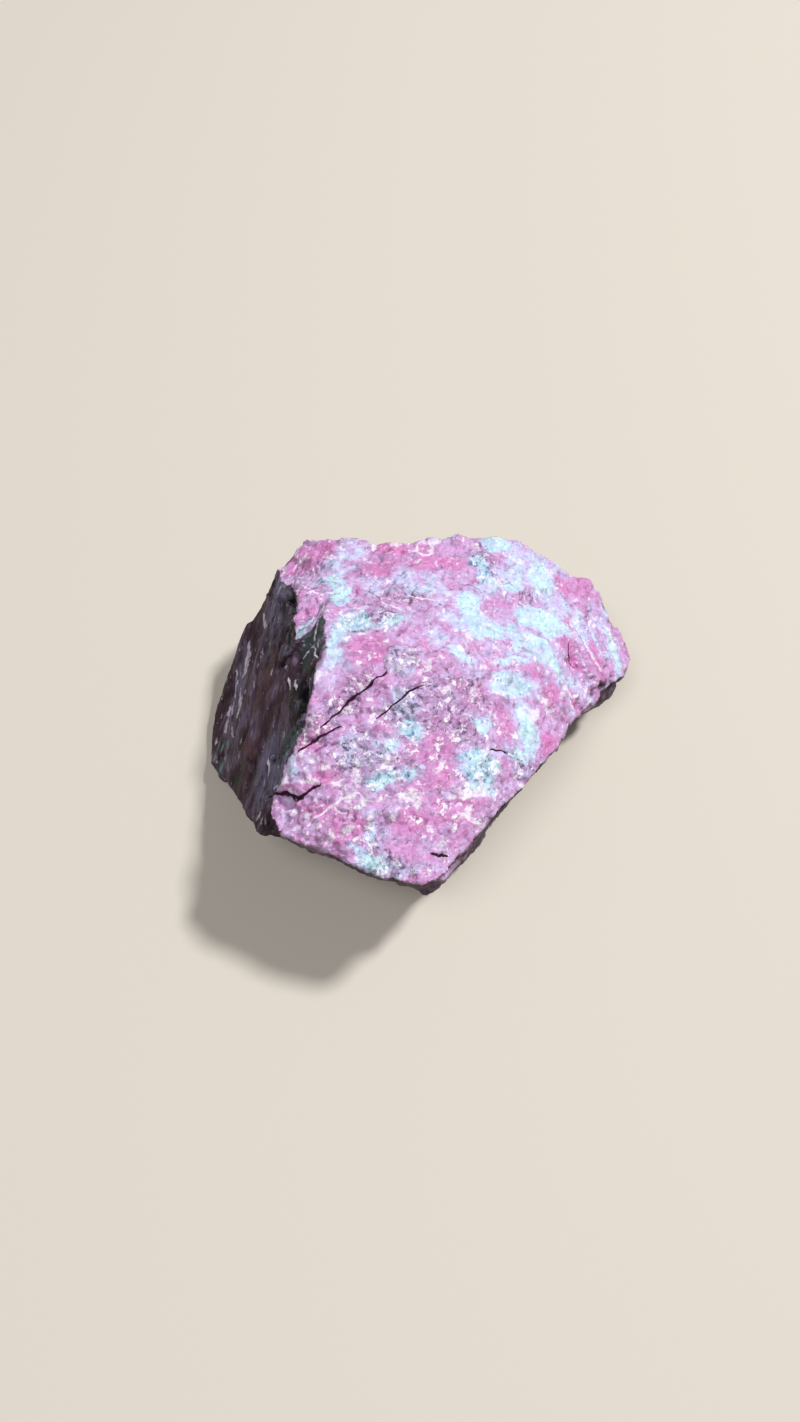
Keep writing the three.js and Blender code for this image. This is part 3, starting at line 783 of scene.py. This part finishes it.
def make_flecks():
    """Ragged grains, longer along the blades: 1 on the given share of grains of that size."""
    tree, nodes, inputs = new_group("flecks", size=1.0, length=1.0, share=0.1, seed=0.0)
    place = pushed_place(nodes, inputs["size"], amount=2.4)
    place = squeezed_place(nodes, place, BLADE_DIRECTION, inputs["length"])
    cells = grains(nodes, place, inputs["size"], inputs["seed"])
    pick = nodes.add("SeparateColor", {"Color": cells.outputs["Color"]}, output="Red")
    chosen = nodes.math("LESS_THAN", pick, inputs["share"])
    body = nodes.rise(cells.outputs["Distance"], 0.68, 0.40)
    return finish_group(tree, nodes.math("MULTIPLY", chosen, body))


def make_facets():
    """Height in millimetres of small tilted faces, longer along the blades by the length."""
    tree, nodes, inputs = new_group("facets", size=1.0, length=1.0, seed=0.0)
    place = pushed_place(nodes, inputs["size"], amount=0.5)
    place = squeezed_place(nodes, place, BLADE_DIRECTION, inputs["length"])
    cells = grains(nodes, place, inputs["size"], inputs["seed"])
    out = nodes.add("VectorMath", {0: place, 1: cells.outputs["Position"]}, operation="SUBTRACT")
    tilt = nodes.add("VectorMath", {0: cells.outputs["Color"], 1: CENTRE}, operation="SUBTRACT")
    height = nodes.add("VectorMath", {0: out, 1: tilt}, output="Value", operation="DOT_PRODUCT")
    return finish_group(tree, height)


def make_threads(mottle):
    """Thin wandering veins of that spacing and width, in more places as the share grows."""
    tree, nodes, inputs = new_group("threads", size=6.0, width=0.3, share=0.5, seed=0.0)
    cloud = nodes.group(mottle, size=inputs["size"], seed=inputs["seed"], roughness=0.65)
    half = nodes.math("DIVIDE", inputs["width"], inputs["size"])
    line = nodes.rise(nodes.math("ABSOLUTE", cloud), nodes.math("MULTIPLY", half, 2.0), 0.0)
    seed = nodes.math("ADD", inputs["seed"], 50.0)
    gate = nodes.group(mottle, size=nodes.math("MULTIPLY", inputs["size"], 0.5), seed=seed)
    low = nodes.math("MULTIPLY_ADD", inputs["share"], -1.6, 0.8)
    there = nodes.rise(gate, low, nodes.math("ADD", low, 0.3))
    return finish_group(tree, nodes.math("MULTIPLY", line, there))


def make_plates():
    """Streaks of that size, drawn out along the blades and across them, from about -1 to 1."""
    tree, nodes, inputs = new_group("plates", size=1.0, length=8.0, breadth=1.0, seed=0.0)
    place = layered_place(nodes, nodes.place(), inputs["length"], inputs["breadth"])
    return finish_group(tree, clouds_at(nodes, place, inputs, detail=2.0, roughness=0.5))


def make_folds():
    """Streaks of that size, drawn out along the folds of the break, from about -1 to 1."""
    tree, nodes, inputs = new_group("folds", size=1.0, length=5.0, seed=0.0)
    loose = pushed_place(nodes, size=5.0, amount=0.3)
    place = squeezed_place(nodes, loose, FOLD_DIRECTION, inputs["length"])
    return finish_group(tree, clouds_at(nodes, place, inputs, detail=2.0, roughness=0.5))


class Finishes:
    """The node groups that the stone's finishes share."""

    def __init__(self):
        self.mottle = make_mottle()
        self.edge = make_ragged_edge(self.mottle)
        self.flecks = make_flecks()
        self.facets = make_facets()
        self.threads = make_threads(self.mottle)
        self.plates = make_plates()
        self.folds = make_folds()


def layer(nodes, start, *parts):
    """A start value with each part added in its share."""
    total = start
    for part, share in parts:
        total = nodes.math("MULTIPLY_ADD", part, share, total)
    return total


def cover(nodes, colour, mask, share, over):
    """The colour with a share of another over it where the mask is 1."""
    return nodes.mix(nodes.math("MULTIPLY", mask, share, clamp=True), colour, linear(over))


def patch(nodes, use, name):
    """One of the stone's fields as a mask with its own ragged edge."""
    return nodes.group(use.edge, field=nodes.field(name), **EDGES[name])


def line_mark(nodes, use, name, wander, seed):
    """One of the stone's sets of thin lines as a mask, wandering by that many half widths."""
    offset = nodes.field(name + "_offset")
    offset = layer(nodes, offset, (nodes.group(use.mottle, size=0.8, seed=seed), wander))
    line = nodes.rise(nodes.math("ABSOLUTE", offset), *LINE_EDGE)
    return nodes.math("MULTIPLY", line, nodes.rise(nodes.field(name), *LINE_GATE))


def by_ridge(nodes):
    """1 on the dark side close to the ridge, where small knobs stand."""
    return nodes.rise(nodes.field("ridge"), *KNOB_BAND)


def break_marks(nodes, use):
    """The masks that both the colour and the grain of the break use."""
    grainy = patch(nodes, use, "grainy")
    rose = patch(nodes, use, "rose")
    share = layer(nodes, 0.06, (grainy, 0.06), (rose, 0.02))
    # Chips and frost: white grains of the break, partly painted glints of small facets in the light.
    chips = nodes.group(use.flecks, size=1.2, length=1.5, share=share, seed=9.0)
    frost_and_glint = nodes.group(use.mottle, size=1.7, seed=40.0, roughness=0.75)
    frost_and_glint = nodes.rise(layer(nodes, frost_and_glint, (grainy, 0.18)), 0.28, 0.70)
    # Pits: dark specks, and painted shade in the small pits between the grains.
    specks_and_pit_shade = nodes.group(use.mottle, size=1.2, seed=41.0, roughness=0.75)
    specks_and_pit_shade = nodes.rise(layer(nodes, specks_and_pit_shade, (grainy, 0.38), (rose, -0.2)), 0.36, 0.90)
    folds = nodes.group(use.folds, size=1.5, length=6.0, seed=42.0)
    broken = nodes.rise(nodes.group(use.mottle, size=1.8, seed=54.0), -0.5, 0.4)
    crease = line_mark(nodes, use, "crease", wander=0.8, seed=47.0)
    return {
        "grainy": grainy,
        "rose": rose,
        "mint": patch(nodes, use, "mint"),
        "folds": nodes.math("MULTIPLY", folds, patch(nodes, use, "folded")),
        "fleck_and_glint": nodes.math("MAXIMUM", chips, frost_and_glint),
        "dark": nodes.math("SUBTRACT", specks_and_pit_shade, frost_and_glint, clamp=True),
        "crease": nodes.math("MULTIPLY", crease, broken),
        "vein": line_mark(nodes, use, "vein", wander=0.8, seed=36.0),
        "mauve": line_mark(nodes, use, "mauve", wander=0.8, seed=44.0),
        "crack": line_mark(nodes, use, "crack", wander=0.6, seed=37.0),
    }


def break_tone(nodes, use, marks, restless):
    """How pale the break is, from 0 in the deepest pink to 1 in the palest mint."""
    clouds = nodes.group(use.mottle, size=2.4, seed=6.0, roughness=0.7)
    speckle = layer(nodes, 0.1, (marks["grainy"], 0.1))
    return layer(
        nodes,
        0.33,
        (nodes.group(use.mottle, size=6.0, seed=5.0), 0.16),
        (nodes.math("MULTIPLY", clouds, restless), 0.28),
        (nodes.group(use.mottle, size=0.9, seed=7.0, roughness=0.7), speckle),
        (marks["rose"], -0.22),
        (patch(nodes, use, "lilac"), 0.24),
        (nodes.rise(nodes.field("mint"), -2.4, 0.0), 0.14),
        (marks["folds"], 0.34),
        (marks["mint"], 0.36),
    )


def break_colour(nodes, use, marks):
    """Marbled pink, lilac and mint of the fresh break."""
    restless = nodes.math("MULTIPLY_ADD", marks["rose"], -0.55, 1.0)
    plain = nodes.math("SUBTRACT", 1.0, marks["mint"])
    colour = nodes.tones(break_tone(nodes, use, marks, restless), BREAK_TONES)
    # Grainy patches dulled with mauve: a dull stain, partly painted shade.
    mauve = nodes.math("SUBTRACT", marks["grainy"], marks["mint"], clamp=True)
    colour = cover(nodes, colour, mauve, 0.4, GRAINY_MAUVE_AND_SHADE)

    # Shade and glow of the grains, then the deeper shade inside the mint.
    shadow = nodes.rise(nodes.group(use.mottle, size=1.4, seed=50.0), 0.1, 0.9)
    colour = cover(nodes, colour, nodes.math("MULTIPLY", shadow, plain), 0.58, ROSE_SHADOW)
    glow = nodes.rise(nodes.group(use.mottle, size=1.2, seed=51.0, roughness=0.7), 0.1, 0.9)
    glow = nodes.math("MULTIPLY", glow, nodes.math("MULTIPLY", plain, restless))
    colour = cover(nodes, colour, glow, 0.5, ROSE_GLOW)
    shade = layer(nodes, nodes.group(use.mottle, size=1.9, seed=19.0), (marks["grainy"], 0.4))
    shade = nodes.math("MULTIPLY", nodes.rise(shade, 0.1, 0.9), marks["mint"])
    colour = cover(nodes, colour, shade, 0.6, MINT_SHADE)

    # Dark specks and painted shade in pits, creases with painted shade, then white and glinting marks over
    # them.
    dark = nodes.mix(marks["mint"], linear(DARK_SPECK_AND_PIT_SHADE), linear(MINT_FLECK))
    colour = nodes.mix(nodes.math("MULTIPLY", marks["dark"], 0.85), colour, dark)
    colour = cover(nodes, colour, marks["crease"], 0.7, CREASE_SHADE)
    colour = cover(nodes, colour, patch(nodes, use, "white"), 0.8, PATCH_WHITE)
    threads = nodes.group(use.threads, size=5.0, width=0.4, share=0.4, seed=8.0)
    colour = cover(nodes, colour, nodes.math("MAXIMUM", threads, marks["vein"]), 0.8, VEIN_WHITE)
    colour = cover(nodes, colour, marks["mauve"], 0.6, MAUVE_STREAK)
    # White flecks over all, partly painted glints.
    return cover(nodes, colour, marks["fleck_and_glint"], 0.88, WHITE_FLECK_AND_GLINT)


def blade_colour(nodes, use, vein):
    """Brown calm middle of the dark side, grey blades at its ends, greenish black along the ridge, partly
    painted shade.
    """
    tone = layer(
        nodes,
        0.5,
        (nodes.group(use.plates, size=2.6, length=3.0, breadth=2.0, seed=1.0), 0.28),
        (nodes.group(use.plates, size=0.9, length=3.5, breadth=1.0, seed=2.0), 0.2),
        (nodes.group(use.mottle, size=5.0, seed=11.0), 0.14),
    )
    # The dark side's tones are darker than its oxide alone: painted shade.
    colour = nodes.tones(tone, OXIDE_AND_SHADE_TONES)
    grey = nodes.math("MULTIPLY", patch(nodes, use, "grey"), nodes.rise(tone, 0.1, 0.6))
    colour = cover(nodes, colour, grey, 0.75, GREY_BLADE)
    colour = cover(nodes, colour, patch(nodes, use, "rust"), 0.6, RUST)
    black = nodes.math("SUBTRACT", 1.2, nodes.rise(tone, 0.35, 0.8))
    black = nodes.math("MULTIPLY", patch(nodes, use, "black"), black)
    colour = cover(nodes, colour, black, 0.85, GREEN_BLACK)
    knobs = nodes.group(use.flecks, size=1.2, length=2.0, share=0.3, seed=45.0)
    colour = cover(nodes, colour, nodes.math("MULTIPLY", knobs, by_ridge(nodes)), 0.35, KNOB_GREY)
    colour = cover(nodes, colour, patch(nodes, use, "green"), 0.8, GREY_GREEN)
    stripes = nodes.group(use.plates, size=1.3, length=3.0, breadth=1.0, seed=52.0)
    teal = nodes.math("MULTIPLY", patch(nodes, use, "teal"), nodes.rise(stripes, -0.2, 0.8))
    colour = cover(nodes, colour, teal, 0.85, TEAL)

    # Pale flecks and streaks along the blades, the streaks with gaps: pale veins, partly painted highlights
    # on blade edges.
    flecks = nodes.group(use.flecks, size=0.6, length=3.5, share=0.05, seed=22.0)
    colour = cover(nodes, colour, flecks, 0.4, PALE_VEIN_AND_GLINT)
    gaps = nodes.group(use.plates, size=0.7, length=3.0, breadth=1.0, seed=48.0)
    streak = line_mark(nodes, use, "streak", wander=0.9, seed=13.0)
    streak = nodes.math("MULTIPLY", streak, nodes.rise(gaps, -1.3, 0.6))
    return cover(nodes, colour, nodes.math("MAXIMUM", streak, vein), 0.82, PALE_VEIN_AND_GLINT)


def crust_colour(nodes, use):
    """Brown and black oxide on the broken plate edges of the other sides, with painted light along their
    upper rim.
    """
    depth = nodes.field("skin")
    tone = layer(
        nodes,
        0.46,
        (nodes.group(use.plates, size=1.2, length=6.0, breadth=6.0, seed=31.0), 0.16),
        (nodes.group(use.mottle, size=7.0, seed=32.0), 0.16),
        (nodes.group(use.mottle, size=1.4, seed=33.0), 0.12),
        # paler towards the break: painted light on the crust's upper edge
        (nodes.rise(depth, 3.0, 0.0), 0.16),
    )
    colour = nodes.tones(tone, CRUST_TONES)
    # A pale mauve rim where the crust meets the break: painted light on its upper edge.
    lit_rim = nodes.math("MULTIPLY", nodes.rise(depth, 4.0, 0.5), nodes.rise(tone, 0.2, 0.7))
    colour = cover(nodes, colour, lit_rim, 0.7, LIT_RIM_MAUVE)
    rust = nodes.rise(nodes.group(use.mottle, size=9.0, seed=21.0), 0.1, 0.8)
    colour = cover(nodes, colour, rust, 0.45, RUST)
    threads = nodes.group(use.threads, size=9.0, width=0.35, share=0.35, seed=34.0)
    colour = cover(nodes, colour, threads, 0.5, PALE_VEIN_AND_GLINT)
    grit = nodes.rise(nodes.group(use.mottle, size=1.1, seed=35.0, roughness=0.8), 0.6, 1.0)
    return cover(nodes, colour, grit, 0.45, VEIN_WHITE)


def grain_height(nodes, use, marks, skin):
    """Fine grain in millimetres: small tilted faces on the break and long ones on the dark side."""
    broken = layer(
        nodes,
        0.0,
        (nodes.group(use.facets, size=2.2, seed=14.0), 0.42),
        (nodes.group(use.facets, size=0.9, seed=15.0), 0.75),
        (marks["fleck_and_glint"], 0.07),
        (marks["dark"], -0.08),
        (marks["folds"], 0.22),
        (marks["crease"], -0.12),
        (marks["crack"], -0.3),
    )
    knobs = nodes.math("MULTIPLY", nodes.group(use.facets, size=1.1, length=1.8, seed=46.0), 0.5)
    bladed = layer(
        nodes,
        0.0,
        (nodes.group(use.facets, size=1.4, length=3.0, seed=23.0), 0.12),
        (nodes.group(use.plates, size=2.2, length=2.5, breadth=1.5, seed=53.0), 0.08),
        (knobs, by_ridge(nodes)),
    )
    height = nodes.math("MULTIPLY_ADD", skin, nodes.math("SUBTRACT", bladed, broken), broken)
    return layer(nodes, height, (nodes.group(use.mottle, size=0.5, seed=24.0), 0.02))


def make_rhodonite():
    """The stone's one material: the fresh break, the dark bladed side and the crust."""
    material = bpy.data.materials.new("rough_rhodonite")
    material.use_nodes = True
    nodes = Nodes(material.node_tree)
    use = Finishes()
    shader = material.node_tree.nodes["Principled BSDF"]
    marks = break_marks(nodes, use)

    skin = patch(nodes, use, "skin")
    blades = blade_colour(nodes, use, marks["vein"])
    rind = nodes.mix(patch(nodes, use, "ridge"), crust_colour(nodes, use), blades)
    colour = nodes.mix(skin, break_colour(nodes, use, marks), rind)
    # Painted shade in the open cracks.
    colour = cover(nodes, colour, marks["crack"], 1.0, CRACK_SHADE)
    # Painted shade in the hollows and under the right corner's overhang.
    colour = cover(nodes, colour, nodes.rise(nodes.field("hollow"), -0.6, 1.0), 0.9, HOLLOW_SHADE)
    nodes.feed(shader.inputs["Base Color"], colour)

    dull = nodes.group(use.mottle, size=0.7, seed=17.0)
    rough = layer(nodes, 0.52, (dull, 0.12), (marks["fleck_and_glint"], -0.2), (marks["crack"], 0.45), (skin, 0.15))
    nodes.feed(shader.inputs["Roughness"], nodes.math("MAXIMUM", rough, GLOSSIEST))
    shader.inputs["IOR"].default_value = STONE_IOR
    shader.inputs["Specular IOR Level"].default_value = SPECULAR
    bump = {"Height": grain_height(nodes, use, marks, skin), "Distance": MM, "Strength": 1.0}
    nodes.feed(shader.inputs["Normal"], nodes.add("Bump", bump))
    return material


# ---------------------------------------------------------------------------------------------
# Floor, light and camera
# ---------------------------------------------------------------------------------------------

CAMERA_PLACE = (-4.4, -98.2, 227.2)
CAMERA_TARGET = (-4.4, 4.8, 16)
LENS = 26
NEAREST_SEEN = 10

LAMP_DISTANCE = 2500
LAMP_TARGET = (0, 0, 20)

FLOOR_EDGE = 4000
FLOOR_COLOUR = (0.60, 0.55, 0.48, 1)
FLOOR_ROUGHNESS = 0.8
ROOM_COLOUR = (0.95, 0.97, 1.0, 1)
ROOM_STRENGTH = 0.14


def aim(thing, place, target):
    """Puts a camera or lamp at a place and turns it to look at a target, both in millimetres."""
    place = Vector(place) * MM
    thing.location = place
    thing.rotation_euler = (Vector(target) * MM - place).to_track_quat("-Z", "Y").to_euler()


def make_camera():
    camera = bpy.data.objects.new("camera", bpy.data.cameras.new("camera"))
    camera.data.lens = LENS
    camera.data.clip_start = NEAREST_SEEN * MM
    bpy.context.collection.objects.link(camera)
    aim(camera, CAMERA_PLACE, CAMERA_TARGET)
    bpy.context.scene.camera = camera


def make_lamp(name, azimuth, elevation, size, power):
    """A round soft white lamp. Azimuth turns from +X towards +Y, in degrees."""
    lamp = bpy.data.objects.new(name, bpy.data.lights.new(name, "AREA"))
    lamp.data.shape = "DISK"
    lamp.data.size = size * MM
    lamp.data.energy = power
    bpy.context.collection.objects.link(lamp)
    turn = math.radians(azimuth)
    rise = math.radians(elevation)
    way = Vector((math.cos(turn) * math.cos(rise), math.sin(turn) * math.cos(rise), math.sin(rise)))
    aim(lamp, way * LAMP_DISTANCE, LAMP_TARGET)


def make_floor():
    bpy.ops.mesh.primitive_plane_add(size=FLOOR_EDGE * MM)
    floor = bpy.context.object
    floor.name = "floor"
    material = bpy.data.materials.new("pale_floor")
    material.use_nodes = True
    shader = material.node_tree.nodes["Principled BSDF"]
    shader.inputs["Base Color"].default_value = FLOOR_COLOUR
    shader.inputs["Roughness"].default_value = FLOOR_ROUGHNESS
    floor.data.materials.append(material)


def make_world():
    world = bpy.data.worlds.new("soft_room")
    world.use_nodes = True
    backdrop = world.node_tree.nodes["Background"]
    backdrop.inputs["Color"].default_value = ROOM_COLOUR
    backdrop.inputs["Strength"].default_value = ROOM_STRENGTH
    bpy.context.scene.world = world


stone = make_stone()
stone.data.materials.append(make_rhodonite())
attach(stone, "root")
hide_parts("rhodonite")
make_camera()
make_floor()
make_world()
make_lamp("key", azimuth=30, elevation=55, size=300, power=58.5)
make_lamp("overhead", azimuth=235, elevation=70, size=1200, power=26)
bpy.context.scene.view_settings.view_transform = "Standard"
